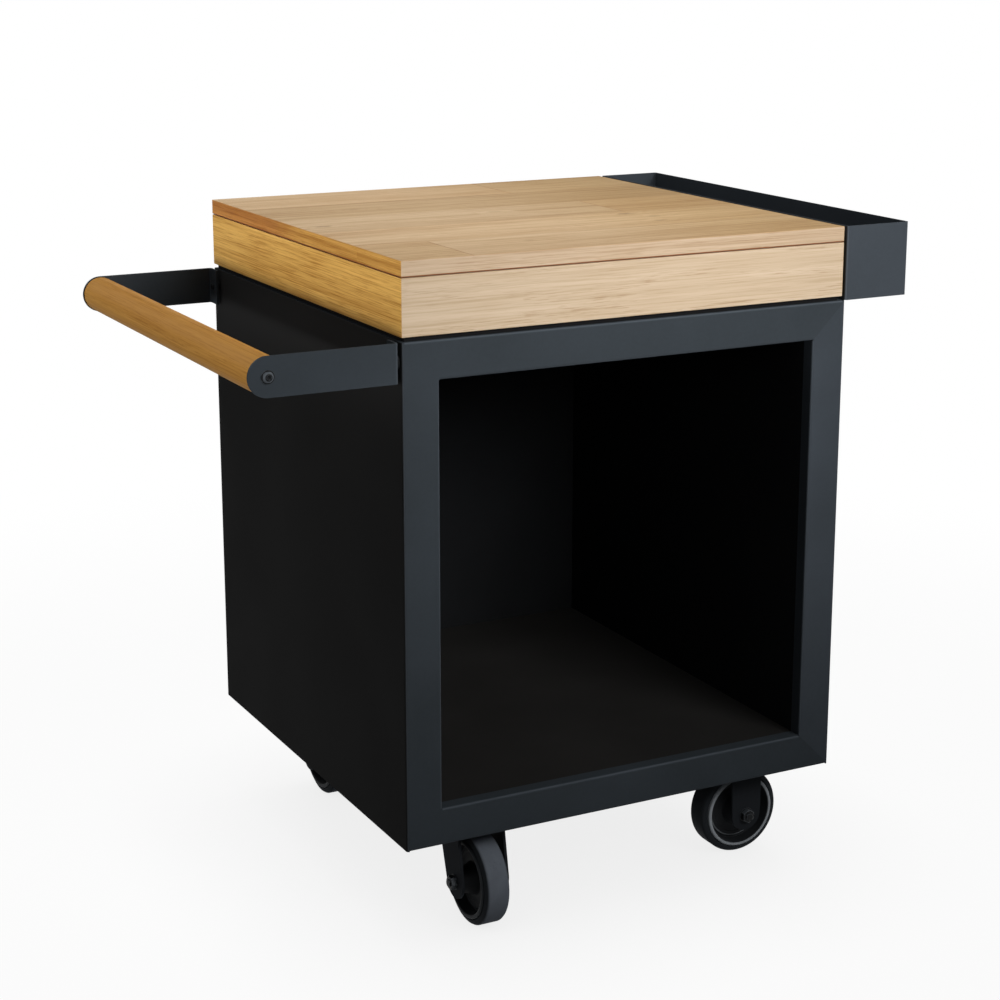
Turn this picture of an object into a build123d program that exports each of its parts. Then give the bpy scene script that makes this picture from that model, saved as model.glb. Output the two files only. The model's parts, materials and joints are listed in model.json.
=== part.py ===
from build123d import *
import os

# A prep table on casters: a folded steel cabinet that is open at the front, a wooden worktop over a
# shadow gap, a wooden push bar on the left and a planter trough on the right. Millimetres, +Z up,
# +X to the right and +Y to the back. The origin is on the floor, under the middle of the whole table.

# Steel cabinet
cabinet_width = 650.0
cabinet_depth = 650.0
cabinet_height = 658.0
band = 50.0
sheet = 2.0
bend_radius = 3.5
lip_depth = 20.0
rear_flange = 30.0
channel_width = 92.0
channel_sheet = 3.0

# Wooden worktop
planter_gap = 5.0
shadow_gap = 6.0
apron_height = 73.0
apron_thickness = 25.0
board_thickness = 20.0
stave_rows = 5
front_butt = 97.0
middle_butt = 463.0
back_butt = 420.0
arris = 0.5
joint_arris = 0.3
kerf_height = 1.2
kerf_depth = 4.0
corner_round = 1.5
batten_width = 60.0
batten_thickness = 18.0
batten_inset = 130.0
corner_block_size = 45.0
strip_width = 16.0
strip_recess = 5.0
screw_inset = 70.0

# Push handle
handle_reach = 172.0
bracket_height = 50.0
bracket_sheet = 3.0
bracket_flange = 28.0
bracket_bend = 5.0
spacer_thickness = 4.0
spacer_diameter = 18.0
bar_diameter = 48.0
bar_chamfer = 1.0
insert_diameter = 12.0
insert_length = 30.0

# Planter trough
planter_width = 100.0
tongue_length = 55.0
tongue_inset = 60.0
planter_screw_count = 4
drain_count = 5
drain_diameter = 8.0

# Casters
caster_height = 155.0
wheel_diameter = 125.0
tread_width = 27.0
shoulder_width = 2.0
shoulder_height = 1.2
bead_inset = 2.0
rim_diameter = 106.0
rim_width = 41.0
rim_wall = 5.5
web_thickness = 9.0
boss_diameter = 36.0
boss_taper = 4.0
step_diameter = 78.0
step_width = 5.0
step_height = 2.0
hub_length = 61.0
hub_play = 0.5
trail = 42.0
swivel_inset_x = 137.0
fixed_inset_x = 80.0
caster_inset_y = 115.0
plate_length = 105.0
plate_width = 85.0
plate_thickness = 4.0
plate_corner = 10.0
plate_bolt_spacing_x = 80.0
plate_bolt_spacing_y = 60.0
fork_sheet = 4.0
fork_bend = 8.0
fork_boss_diameter = 46.0
fork_top_back = 8.0
fork_top_front = 50.0
fixed_leg_width = 48.0
fixed_leg_straight = 53.0
race_height = 4.0
ball_ring_height = 4.0
ball_ring_diameter = 56.0
ball_ring_width = 8.0
head_diameter = 76.0
head_lip = 3.5
race_play = 0.5
kingpin_diameter = 16.0
kingpin_head_diameter = 28.0
kingpin_head_height = 4.5
sleeve_diameter = 20.0
running_play = 0.05

# Fasteners, as metric sizes: shank, width across flats or head diameter, and head height. A button head's
# slope and socket depth are shares of its height, and its socket's flats a share of its shank.
axle_size = 10.0
axle_flats = 17.0
axle_head = 6.4
axle_nut = 8.0
plate_bolt_size = 8.0
plate_bolt_flats = 13.0
plate_bolt_head = 5.3
plate_bolt_nut = 6.5
bar_screw_size = 8.0
bar_screw_head_diameter = 14.0
bar_screw_head = 4.4
small_screw_size = 5.0
small_screw_head_diameter = 9.5
small_screw_head = 2.7
small_screw_nut = 4.0
small_screw_flats = 8.0
wood_screw_grip = 45.0
head_slope = 0.5
socket_flats = 0.6
socket_depth = 0.6
hole_play = 0.5
thread_end = 2.0

# Places that follow from the sizes above
worktop_width = cabinet_width - planter_gap
bracket_reach = handle_reach + bracket_height / 2
x_left = (bracket_reach - cabinet_width - planter_width) / 2
x_right = x_left + cabinet_width
x_middle = (x_left + x_right) / 2
x_worktop = x_left + worktop_width
x_bar = x_left - handle_reach
y_front = -cabinet_depth / 2
y_back = cabinet_depth / 2
z_base = caster_height
z_deck = z_base + cabinet_height
z_open_low = z_base + band
z_open_high = z_deck - band
z_apron = z_deck + shadow_gap
z_board = z_apron + apron_height
z_top = z_board + board_thickness
z_bar = z_deck - bracket_height / 2
wheel_radius = wheel_diameter / 2
leg_inner = hub_length / 2 + hub_play
leg_outer = leg_inner + fork_sheet
z_plate = caster_height - plate_thickness
z_head = z_plate - race_height - ball_ring_height


def slab(x0, x1, y0, y1, z0, z1):
    """Rectangular solid between two corners."""
    middle = Pos((x0 + x1) / 2, (y0 + y1) / 2, (z0 + z1) / 2)
    return middle * Box(x1 - x0, y1 - y0, z1 - z0)


def fold(plane, points, length, thickness, outer_radius):
    """Sheet bent along the middle line through points in a plane, drawn out by length along its normal."""
    line = FilletPolyline(*points, radius=outer_radius - thickness / 2)
    section = plane * trace(line, thickness)
    return extrude(section, length, dir=plane.z_dir)


def post(x, y, z0, z1, diameter):
    """Upright round solid, used for shanks and for the holes that take them."""
    return Pos(x, y, (z0 + z1) / 2) * Cylinder(diameter / 2, z1 - z0)


def across(x, y0, y1, z, diameter):
    """Round solid along Y, used for axles, the bar and their holes."""
    return Pos(x, (y0 + y1) / 2, z) * Rot(90, 0, 0) * Cylinder(diameter / 2, y1 - y0)


def along(x0, x1, y, z, diameter):
    """Round solid along X, used for the bracket screws and their holes."""
    return Pos((x0 + x1) / 2, y, z) * Rot(0, 90, 0) * Cylinder(diameter / 2, x1 - x0)


def hexagon(flats, height):
    """Upright hexagonal solid that stands on the XY plane."""
    return extrude(RegularPolygon(flats / 2, 6, major_radius=False), height, dir=(0, 0, 1))


def hex_bolt(size, flats, head, length):
    """Bolt along +Z, its head below the XY plane and its shank above it."""
    return Pos(0, 0, -head) * hexagon(flats, head) + post(0, 0, 0, length, size)


def hex_nut(size, flats, height):
    """Nut that stands on the XY plane."""
    return hexagon(flats, height) - post(0, 0, 0, height, size + running_play)


def button_screw(size, head_diameter, head, length):
    """Button-head socket screw along +Z, its sloped head below the XY plane."""
    crown = post(0, 0, -head, 0, head_diameter)
    crown = chamfer(crown.edges().sort_by(Axis.Z)[0], head_slope * head)
    socket = Pos(0, 0, -head) * hexagon(socket_flats * size, socket_depth * head)
    return crown - socket + post(0, 0, 0, length, size)


def bolt_places(spacing_x, spacing_y):
    """Corners of a rectangle of bolt holes round the origin."""
    return [(sx * spacing_x / 2, sy * spacing_y / 2) for sx in (-1, 1) for sy in (-1, 1)]


# Cabinet

def caster_places():
    """Name, centre of the plate and turn of each caster; the trail of a turned one runs along that turn."""
    x_swivel = x_left + swivel_inset_x
    x_fixed = x_right - fixed_inset_x
    y_low = y_front + caster_inset_y
    y_high = y_back - caster_inset_y
    swivel = [("left_front", x_swivel, y_low, -90), ("left_rear", x_swivel, y_high, 90)]
    fixed = [("right_front", x_fixed, y_low, 0), ("right_rear", x_fixed, y_high, 0)]
    return swivel, fixed


def caster_bolt_places():
    """Every bolt that holds a caster plate to the base."""
    swivel, fixed = caster_places()
    corners = bolt_places(plate_bolt_spacing_x, plate_bolt_spacing_y)
    return [(x + dx, y + dy) for _, x, y, _ in swivel + fixed for dx, dy in corners]


def caster_bolt_holes(z0, z1):
    """Holes for those bolts between two levels."""
    return [post(x, y, z0, z1, plate_bolt_size + hole_play) for x, y in caster_bolt_places()]


def worktop_screw_places():
    """The screws up through the deck and the strips into the front and back aprons."""
    columns = (x_left + screw_inset, (x_left + x_worktop) / 2, x_worktop - screw_inset)
    reach = strip_recess + strip_width / 2
    rows = (y_front + reach, y_back - reach)
    return [(x, y) for x in columns for y in rows]


def planter_screw_places():
    """The row of screws through the planter's tongue into the deck."""
    pitch = (cabinet_depth - 2 * tongue_inset) / planter_screw_count
    return [(x_right - tongue_length / 2, y_front + tongue_inset + (i + 0.5) * pitch)
            for i in range(planter_screw_count)]


def bracket_screw_rows():
    """Where the handle brackets are screwed to the left side panel."""
    return y_front + bracket_flange / 2, y_back - bracket_flange / 2


def mitre(z_face, up, depth):
    """Solid over a pan's left front corner, as far as the diagonal on which its rail meets the side's band.

    z_face and up are those of the pan; depth is measured back from the front."""
    x0 = x_left + bend_radius
    x1 = x_left + band
    ends = ((x0, z_face), (x1, z_face), (x1, z_face + up * band), (x0, z_face + up * bend_radius))
    face = Plane.XZ.offset(-y_front) * make_face(Polyline(*ends, close=True))
    return extrude(face, depth, dir=(0, 1, 0))


def side_panel():
    """Left side panel: skin, mitred front band and rear flange, with a lip beside the compartment's mouth."""
    mid = sheet / 2
    rear_end = (x_left + rear_flange, y_back - mid)
    rear_corner = (x_left + mid, y_back - mid)
    front_corner = (x_left + mid, y_front + mid)
    band_end = (x_left + band, y_front + mid)
    lip_corner = (x_left + band - mid, y_front + mid)
    lip_end = (x_left + band - mid, y_front + lip_depth)
    plain = [rear_end, rear_corner, front_corner, band_end]
    lipped = [rear_end, rear_corner, front_corner, lip_corner, lip_end]
    below = fold(Plane.XY.offset(z_base), plain, band, sheet, bend_radius)
    beside = fold(Plane.XY.offset(z_open_low), lipped, z_open_high - z_open_low, sheet, bend_radius)
    above = fold(Plane.XY.offset(z_open_high), plain, band, sheet, bend_radius)
    return below - mitre(z_base, 1, sheet) + beside + (above - mitre(z_deck, -1, sheet))


def pan(z_face, up):
    """Skin between the side panels, folded at the front into a mitred rail and lip, at the rear into a flange.

    z_face is the level of the outer face; up is 1 where the folds rise from it and -1 where they hang."""
    mid = sheet / 2
    reach = 2 * bend_radius
    z_skin = z_face + up * mid
    z_lip = z_face + up * (band - mid)
    z_low = min(z_face, z_face + up * sheet)
    rail = [(y_front + reach, z_skin), (y_front + mid, z_skin), (y_front + mid, z_lip),
            (y_front + lip_depth, z_lip)]
    flange = [(y_back - reach, z_skin), (y_back - mid, z_skin), (y_back - mid, z_face + up * rear_flange)]
    skin = slab(x_left + sheet, x_right - sheet, y_front + reach, y_back - reach, z_low, z_low + sheet)
    skin += fold(Plane.YZ.offset(x_left + band), rail, cabinet_width - 2 * band, sheet, bend_radius)
    skin += fold(Plane.YZ.offset(x_left + rear_flange), flange, cabinet_width - 2 * rear_flange, sheet,
                 bend_radius)
    rail_end = [(y_front + reach, z_skin), (y_front + mid, z_skin), (y_front + mid, z_face + up * band)]
    ear = fold(Plane.YZ.offset(x_left + bend_radius), rail_end, band - bend_radius, sheet, bend_radius)
    ear &= mitre(z_face, up, reach)
    tab = slab(x_left + bend_radius, x_left + rear_flange, y_back - reach, y_back - sheet, z_low, z_low + sheet)
    for piece in (ear, tab):
        skin += piece + mirror(piece, about=Plane.YZ.offset(x_middle))
    return skin


def cabinet():
    """The folded sheets of the cabinet, the compartment's lining and the channels over the casters."""
    left = side_panel()
    right = mirror(left, about=Plane.YZ.offset(x_middle))
    for y in bracket_screw_rows():
        left -= along(x_left, x_left + sheet, y, z_bar, small_screw_size + hole_play)
    deck = pan(z_deck, -1)
    for x, y in worktop_screw_places() + planter_screw_places():
        deck -= post(x, y, z_deck - sheet, z_deck, small_screw_size + hole_play)
    base = pan(z_base, 1) - caster_bolt_holes(z_base, z_base + sheet)
    back = slab(x_left + bend_radius, x_right - bend_radius, y_back - 2 * sheet, y_back - sheet,
                z_base + bend_radius, z_deck - bend_radius)
    y0 = y_front + lip_depth
    y1 = y_back - 2 * sheet
    z0 = z_open_low - sheet
    z1 = z_open_high + sheet
    wall_left = slab(x_left + band - sheet, x_left + band, y0, y1, z0, z1)
    wall_right = slab(x_right - band, x_right - band + sheet, y0, y1, z0, z1)
    floor = slab(x_left + band, x_right - band, y0, y1, z0, z_open_low)
    ceiling = slab(x_left + band, x_right - band, y0, y1, z_open_high, z1)
    nodes = {"left_side_panel": [left], "right_side_panel": [right], "top_deck": [deck], "base_pan": [base],
             "back_panel": [back], "inner_left_wall": [wall_left], "inner_right_wall": [wall_right],
             "inner_floor": [floor], "inner_ceiling": [ceiling]}
    for name, y in (("front_caster_channel", y_front + caster_inset_y),
                    ("rear_caster_channel", y_back - caster_inset_y)):
        nodes[name] = [caster_channel(y)]
    return nodes


def caster_channel(y):
    """U channel on the base skin over a pair of casters, as tall as the space under the inner floor."""
    mid = channel_sheet / 2
    z_web = z_base + sheet
    z_rim = z_open_low - sheet
    half = channel_width / 2 - mid
    points = [(y - half, z_rim), (y - half, z_web + mid), (y + half, z_web + mid), (y + half, z_rim)]
    channel = fold(Plane.YZ.offset(x_left + sheet), points, cabinet_width - 2 * sheet, channel_sheet,
                   2 * channel_sheet)
    return channel - caster_bolt_holes(z_web, z_web + channel_sheet)


def caster_fasteners():
    """Bolts up through the plates, base skin and channels, and the nuts on top of them."""
    z_nut = z_base + sheet + channel_sheet
    length = z_nut - z_plate + plate_bolt_nut + thread_end
    bolt = hex_bolt(plate_bolt_size, plate_bolt_flats, plate_bolt_head, length)
    nut = hex_nut(plate_bolt_size, plate_bolt_flats, plate_bolt_nut)
    places = caster_bolt_places()
    return {"caster_bolts": [Pos(x, y, z_plate) * bolt for x, y in places],
            "caster_nuts": [Pos(x, y, z_nut) * nut for x, y in places]}


# Worktop

def eased(z0, z1):
    """Block of the worktop's plan between two levels, with rounded corners and eased arrises."""
    block = slab(x_left, x_worktop, y_front, y_back, z0, z1)
    block = fillet(block.edges().filter_by(Axis.Z), corner_round)
    rims = block.edges().group_by(Axis.Z)
    return chamfer(rims[0] + rims[-1], arris)


def aprons():
    """Four boards mitred into a frame, set back along the top to leave a kerf under the board."""
    t = apron_thickness
    k = kerf_depth
    z_kerf = z_board - kerf_height
    outer = [(x_left, y_front), (x_worktop, y_front), (x_worktop, y_back), (x_left, y_back)]
    inner = [(x_left + t, y_front + t), (x_worktop - t, y_front + t), (x_worktop - t, y_back - t),
             (x_left + t, y_back - t)]
    body = eased(z_apron, z_kerf) + slab(x_left + k, x_worktop - k, y_front + k, y_back - k, z_kerf, z_board)
    boards = {}
    for i, side in enumerate(("front", "right", "back", "left")):
        j = (i + 1) % 4
        plan = make_face(Polyline(outer[i], outer[j], inner[j], inner[i], close=True))
        wedge = extrude(Plane.XY.offset(z_apron) * plan, apron_height, dir=(0, 0, 1))
        boards["apron_" + side] = body & wedge
    for x, y in worktop_screw_places():
        pilot = post(x, y, z_apron, z_apron + wood_screw_grip, small_screw_size + running_play)
        side = "apron_front" if y < 0 else "apron_back"
        boards[side] -= pilot
    return {name: [board] for name, board in boards.items()}


def staves():
    """The board on top: rows of planks that run from left to right, some of them in two lengths."""
    board = eased(z_board, z_top)
    pitch = cabinet_depth / stave_rows
    butts = {0: front_butt, stave_rows // 2: middle_butt, stave_rows - 1: back_butt}
    names = {0: "front", stave_rows // 2: "middle", stave_rows - 1: "back"}
    nodes = {}
    for row in range(stave_rows):
        y0 = y_front + row * pitch
        name = "stave_" + names.get(row, f"row_{row + 1}")
        ends = [x_left, x_worktop]
        labels = [name]
        if row in butts:
            ends = [x_left, x_left + butts[row], x_worktop]
            labels = [name + "_left", name + "_right"]
        for label, x0, x1 in zip(labels, ends, ends[1:]):
            plank = slab(x0, x1, y0, y0 + pitch, z_board, z_top)
            plank = chamfer(plank.faces().sort_by(Axis.Z)[-1].edges(), joint_arris)
            nodes[label] = [board & plank]
    return nodes


def worktop_carriers():
    """Battens under the board, blocks in the mitres, strips on the deck and the screws through them.

    The strips run along the three open sides; on the fourth the planter's tongue lies in the gap."""
    t = apron_thickness
    b = batten_width / 2
    battens = [slab(x - b, x + b, y_front + t, y_back - t, z_board - batten_thickness, z_board)
               for x in (x_left + batten_inset, x_worktop - batten_inset)]
    blocks = []
    for x, sx in ((x_left + t, 1), (x_worktop - t, -1)):
        for y, sy in ((y_front + t, 1), (y_back - t, -1)):
            ends = ((x, y), (x + sx * corner_block_size, y), (x, y + sy * corner_block_size))
            face = Plane.XY.offset(z_apron) * make_face(Polyline(*ends, close=True))
            blocks.append(extrude(face, apron_height, dir=(0, 0, 1)))
    r = strip_recess
    w = strip_recess + strip_width
    strips = [slab(x_left + r, x_worktop - r, y_front + r, y_front + w, z_deck, z_apron),
              slab(x_left + r, x_worktop - r, y_back - w, y_back - r, z_deck, z_apron),
              slab(x_left + r, x_left + w, y_front + w, y_back - w, z_deck, z_apron)]
    holes = [post(x, y, z_deck, z_apron, small_screw_size + hole_play) for x, y in worktop_screw_places()]
    strips = [strip - holes for strip in strips]
    z_head_seat = z_deck - sheet
    screw = button_screw(small_screw_size, small_screw_head_diameter, small_screw_head,
                         z_apron + wood_screw_grip - z_head_seat)
    screws = [Pos(x, y, z_head_seat) * screw for x, y in worktop_screw_places()]
    return {"board_battens": battens, "corner_blocks": blocks, "worktop_pads": strips,
            "worktop_screws": screws}


# Push handle

def handle():
    """Bar between two bent brackets that stand off the left side panel on spacers."""
    mid = bracket_sheet / 2
    x_flange = x_left - spacer_thickness
    tip = (x_left - bracket_reach, y_front + mid)
    corner = (x_flange - mid, y_front + mid)
    flange_end = (x_flange - mid, y_front + bracket_flange)
    z_low = z_bar - bracket_height / 2
    line = [tip, corner, flange_end]
    strip = fold(Plane.XY.offset(z_low), line, bracket_height, bracket_sheet, bracket_bend)
    outline = slab(x_bar, x_flange, y_front, y_front + bracket_flange, z_low, z_deck)
    outline += across(x_bar, y_front, y_front + bracket_flange, z_bar, bracket_height)
    y_screw = bracket_screw_rows()[0]
    bracket = strip & outline
    bracket -= across(x_bar, y_front, y_front + bracket_sheet, z_bar, bar_screw_size + hole_play)
    bracket -= along(x_flange - bracket_sheet, x_flange, y_screw, z_bar, small_screw_size + hole_play)
    spacer = along(x_flange, x_left, y_screw, z_bar, spacer_diameter)
    spacer -= along(x_flange, x_left, y_screw, z_bar, small_screw_size + hole_play)

    y0 = y_front + bracket_sheet
    y1 = y_back - bracket_sheet
    bar = chamfer(across(x_bar, y0, y1, z_bar, bar_diameter).edges(), bar_chamfer)
    insert = across(x_bar, y0, y0 + insert_length, z_bar, insert_diameter)
    insert -= across(x_bar, y0, y0 + insert_length, z_bar, bar_screw_size + running_play)
    pocket = across(x_bar, y0, y0 + insert_length, z_bar, insert_diameter + running_play)
    screw = button_screw(bar_screw_size, bar_screw_head_diameter, bar_screw_head,
                         bracket_sheet + insert_length - thread_end)
    screw = Pos(x_bar, y_front, z_bar) * Rot(-90, 0, 0) * screw

    grip = bracket_sheet + spacer_thickness + sheet + small_screw_nut + thread_end
    side_screw = button_screw(small_screw_size, small_screw_head_diameter, small_screw_head, grip)
    side_screw = Pos(x_flange - bracket_sheet, y_screw, z_bar) * Rot(0, 90, 0) * side_screw
    side_nut = hex_nut(small_screw_size, small_screw_flats, small_screw_nut)
    side_nut = Pos(x_left + sheet, y_screw, z_bar) * Rot(0, 90, 0) * side_nut

    def pair(piece):
        """A piece of the front bracket and its mirror image on the back one."""
        return [piece, mirror(piece, about=Plane.XZ)]

    front_bracket, back_bracket = pair(bracket)
    bar = bar - pair(pocket)
    return {"handle_bracket_front": [front_bracket], "handle_bracket_back": [back_bracket],
            "handle_bar": [bar], "bar_inserts": pair(insert), "bar_screws": pair(screw),
            "bracket_screws": pair(side_screw) + pair(side_nut) + pair(spacer)}


# Planter

def planter():
    """Open trough beside the worktop; its floor runs on as a tongue that is screwed to the deck."""
    x_end = x_right + planter_width
    outer = slab(x_right, x_end, y_front, y_back, z_deck, z_top)
    outer = fillet(outer.edges().filter_by(Axis.Z), bend_radius)
    hollow = slab(x_right + sheet, x_end - sheet, y_front + sheet, y_back - sheet, z_deck + sheet, z_top)
    hollow = fillet(hollow.edges().filter_by(Axis.Z), bend_radius - sheet)
    trough = outer - hollow
    trough += slab(x_right - tongue_length, x_right + bend_radius,
                   y_front + tongue_inset, y_back - tongue_inset, z_deck, z_deck + sheet)
    pitch = cabinet_depth / drain_count
    for i in range(drain_count):
        y = y_front + (i + 0.5) * pitch
        trough -= post((x_right + x_end) / 2, y, z_deck, z_deck + sheet, drain_diameter)
    grip = 2 * sheet + small_screw_nut + thread_end
    screw = Rot(180, 0, 0) * button_screw(small_screw_size, small_screw_head_diameter, small_screw_head, grip)
    nut = hex_nut(small_screw_size, small_screw_flats, small_screw_nut)
    fasteners = []
    for x, y in planter_screw_places():
        trough -= post(x, y, z_deck, z_deck + sheet, small_screw_size + hole_play)
        fasteners.append(Pos(x, y, z_deck + sheet) * screw)
        fasteners.append(Pos(x, y, z_deck - sheet - small_screw_nut) * nut)
    return {"planter_trough": [trough], "planter_screws": fasteners}


# Casters, drawn with the trail along +X and the axle along Y

def turned_section(half):
    """Ring turned about Y from the (radius, height) points of the half of its section above the XZ plane."""
    section = make_face(Polyline(*half, *[(r, -a) for r, a in reversed(half)], close=True))
    return revolve(section, Axis.Y)


def wheel():
    """Dished hub with a long boss and a raised ring, and the tyre on its rim, both turned about the axle.

    The tyre's sides slope in from the wide rim to the narrower tread."""
    bore = sleeve_diameter / 2 + running_play
    boss = boss_diameter / 2
    rim = rim_diameter / 2
    side = rim_width / 2
    half = hub_length / 2
    web = web_thickness / 2
    step = step_diameter / 2
    ring_in = step - step_width / 2
    ring_out = step + step_width / 2
    hub_half = [(bore, half), (boss - boss_taper, half), (boss, side),
                (boss + boss_taper, web + boss_taper / 2), (ring_in - step_height, web),
                (ring_in, web + step_height), (ring_out, web + step_height), (ring_out + step_height, web),
                (rim - rim_wall - boss_taper / 2, web), (rim - rim_wall, side), (rim, side)]
    tread = tread_width / 2
    tyre_half = [(rim + running_play, side - 2 * bead_inset), (rim + bead_inset, side - bead_inset),
                 (wheel_radius - shoulder_height, tread + shoulder_width), (wheel_radius, tread)]
    return turned_section(hub_half), turned_section(tyre_half)


def axle():
    """Bolt and nut through both legs, and the sleeve between the legs that the hub turns on."""
    length = 2 * leg_outer + axle_nut + thread_end
    bolt = Pos(0, leg_outer, 0) * Rot(90, 0, 0) * hex_bolt(axle_size, axle_flats, axle_head, length)
    nut = Pos(0, -leg_outer, 0) * Rot(90, 0, 0) * hex_nut(axle_size, axle_flats, axle_nut)
    sleeve = across(0, -leg_inner, leg_inner, 0, sleeve_diameter)
    sleeve -= across(0, -leg_inner, leg_inner, 0, axle_size + 2 * running_play)
    return [bolt, sleeve, nut]


def pressed_fork(z_crown, axle_x, shoulders):
    """Sheet bent over the wheel into two legs, each tapering from its shoulders to a round axle boss.

    z_crown is the top of the bend, and shoulders are the (x, z) points that the legs keep above the axle."""
    mid = fork_sheet / 2
    v = leg_inner + mid
    z_foot = wheel_radius - fork_boss_diameter
    points = [(-v, z_foot), (-v, z_crown - mid), (v, z_crown - mid), (v, z_foot)]
    x0 = min(x for x, _ in shoulders)
    x1 = max(max(x for x, _ in shoulders), axle_x + fork_boss_diameter / 2)
    bent = fold(Plane.YZ.offset(x0), points, x1 - x0, fork_sheet, fork_bend)
    boss = Pos(axle_x, wheel_radius) * Circle(fork_boss_diameter / 2)
    outline = make_hull(boss.edges() + Polyline(*shoulders, close=True).edges())
    legs = extrude(Plane.XZ * outline, leg_outer, both=True)
    return (bent & legs) - across(axle_x, -leg_outer, leg_outer, wheel_radius, axle_size + 2 * running_play)


def top_plate():
    """Caster plate with its four bolt holes."""
    plate = Pos(0, 0, caster_height - plate_thickness / 2) * Box(plate_length, plate_width, plate_thickness)
    plate = fillet(plate.edges().filter_by(Axis.Z), plate_corner)
    holes = [post(x, y, z_plate, caster_height, plate_bolt_size + hole_play)
             for x, y in bolt_places(plate_bolt_spacing_x, plate_bolt_spacing_y)]
    return plate - holes


def swivel_caster():
    """Plate with its raceway, kingpin, ball ring and a fork that trails behind the pivot."""
    pin_hole = kingpin_diameter + 2 * running_play
    race_outer = ball_ring_diameter + ball_ring_width
    race_inner = ball_ring_diameter - ball_ring_width
    race = post(0, 0, z_plate - race_height, z_plate, race_outer)
    race -= post(0, 0, z_plate - race_height, z_plate, race_inner)
    plate = top_plate() + race - post(0, 0, z_plate, caster_height, pin_hole)
    ring = post(0, 0, z_head, z_head + ball_ring_height, race_outer)
    ring -= post(0, 0, z_head, z_head + ball_ring_height, race_inner)

    shoulders = [(-fork_top_back, z_head), (fork_top_front, z_head)]
    fork = pressed_fork(z_head, trail, shoulders + [(trail, z_head - fork_sheet)])
    cup = post(0, 0, z_head - fork_sheet, z_head + head_lip, head_diameter)
    cup -= post(0, 0, z_head, z_head + head_lip, race_outer + 2 * race_play)
    fork = fork + cup - post(0, 0, z_head - fork_sheet, z_head, pin_hole)
    z_pin = z_head - fork_sheet
    kingpin = post(0, 0, z_pin, caster_height, kingpin_diameter)
    kingpin += post(0, 0, z_pin - kingpin_head_height, z_pin, kingpin_head_diameter)
    return {"plate": [plate], "kingpin": [kingpin], "ball_ring": [ring], "fork": [fork]}


def fixed_fork():
    """Upright fork welded under its own plate."""
    w = fixed_leg_width / 2
    z_waist = z_plate - fixed_leg_straight
    shoulders = [(-w, z_plate), (w, z_plate), (w, z_waist), (-w, z_waist)]
    return pressed_fork(z_plate, 0, shoulders) + top_plate()


def casters():
    """Two swivel casters on the handle side and two fixed ones on the planter side."""
    swivel, fixed = caster_places()
    hub, tyre = wheel()
    swivel_pieces = swivel_caster()
    rolling = {"axle": axle(), "hub": [hub], "tyre": [tyre]}
    nodes = {}
    for name, x, y, turn in swivel:
        pivot = Pos(x, y, 0) * Rot(0, 0, turn)
        for piece, solids in swivel_pieces.items():
            place = pivot if piece == "fork" else Pos(x, y, 0)
            nodes[f"{name}_{piece}"] = [place * solid for solid in solids]
        for piece, solids in rolling.items():
            nodes[f"{name}_{piece}"] = [pivot * Pos(trail, 0, wheel_radius) * solid for solid in solids]
    fork = fixed_fork()
    nodes["right_axles"] = []
    for name, x, y, _ in fixed:
        centre = Pos(x, y, wheel_radius)
        nodes[f"{name}_fork"] = [Pos(x, y, 0) * fork]
        nodes[f"{name}_hub"] = [centre * hub]
        nodes[f"{name}_tyre"] = [centre * tyre]
        nodes["right_axles"] += [centre * solid for solid in rolling["axle"]]
    return nodes


def save(name, pieces):
    """Write one node, a single solid or a group of separate ones."""
    solids = [solid for piece in pieces for solid in piece.solids()]
    shape = solids[0] if len(solids) == 1 else Compound(children=solids)
    export_step(shape, f"parts/{name}.step")


os.makedirs("parts", exist_ok=True)
for assembly in (cabinet, caster_fasteners, aprons, staves, worktop_carriers, handle, planter, casters):
    for node, pieces in assembly().items():
        save(node, pieces)
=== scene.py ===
"""Looks of a mobile prep table: oiled staves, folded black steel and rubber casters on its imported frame.

Metres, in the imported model's frame: +X to the planter, +Y to the closed back, +Z up.
"""
from __future__ import annotations

import json
import logging
import math
from dataclasses import dataclass, replace
from enum import Enum
from functools import partial, reduce

import bmesh
import bpy
import numpy as np
from mathutils import Euler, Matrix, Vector

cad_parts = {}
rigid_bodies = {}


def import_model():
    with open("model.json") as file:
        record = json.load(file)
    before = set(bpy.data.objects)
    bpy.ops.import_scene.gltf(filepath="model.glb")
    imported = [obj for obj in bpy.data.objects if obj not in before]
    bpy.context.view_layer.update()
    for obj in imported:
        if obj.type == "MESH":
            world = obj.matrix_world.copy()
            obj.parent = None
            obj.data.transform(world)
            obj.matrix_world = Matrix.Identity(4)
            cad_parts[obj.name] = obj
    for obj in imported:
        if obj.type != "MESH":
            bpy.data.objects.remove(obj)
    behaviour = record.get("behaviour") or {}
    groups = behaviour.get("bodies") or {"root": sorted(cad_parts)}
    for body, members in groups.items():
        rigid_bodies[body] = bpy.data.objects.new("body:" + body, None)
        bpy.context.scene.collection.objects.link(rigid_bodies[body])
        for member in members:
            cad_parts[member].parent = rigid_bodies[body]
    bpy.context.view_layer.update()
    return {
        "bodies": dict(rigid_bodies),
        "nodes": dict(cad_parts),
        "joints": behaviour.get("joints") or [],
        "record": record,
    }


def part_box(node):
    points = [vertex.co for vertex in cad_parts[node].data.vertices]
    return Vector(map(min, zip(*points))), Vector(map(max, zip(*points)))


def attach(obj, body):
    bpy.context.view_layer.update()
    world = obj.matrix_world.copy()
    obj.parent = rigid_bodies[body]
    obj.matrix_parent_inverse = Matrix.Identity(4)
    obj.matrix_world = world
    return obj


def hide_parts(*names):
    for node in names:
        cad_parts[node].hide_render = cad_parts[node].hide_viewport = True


LOG = logging.getLogger("prep_table")

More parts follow.
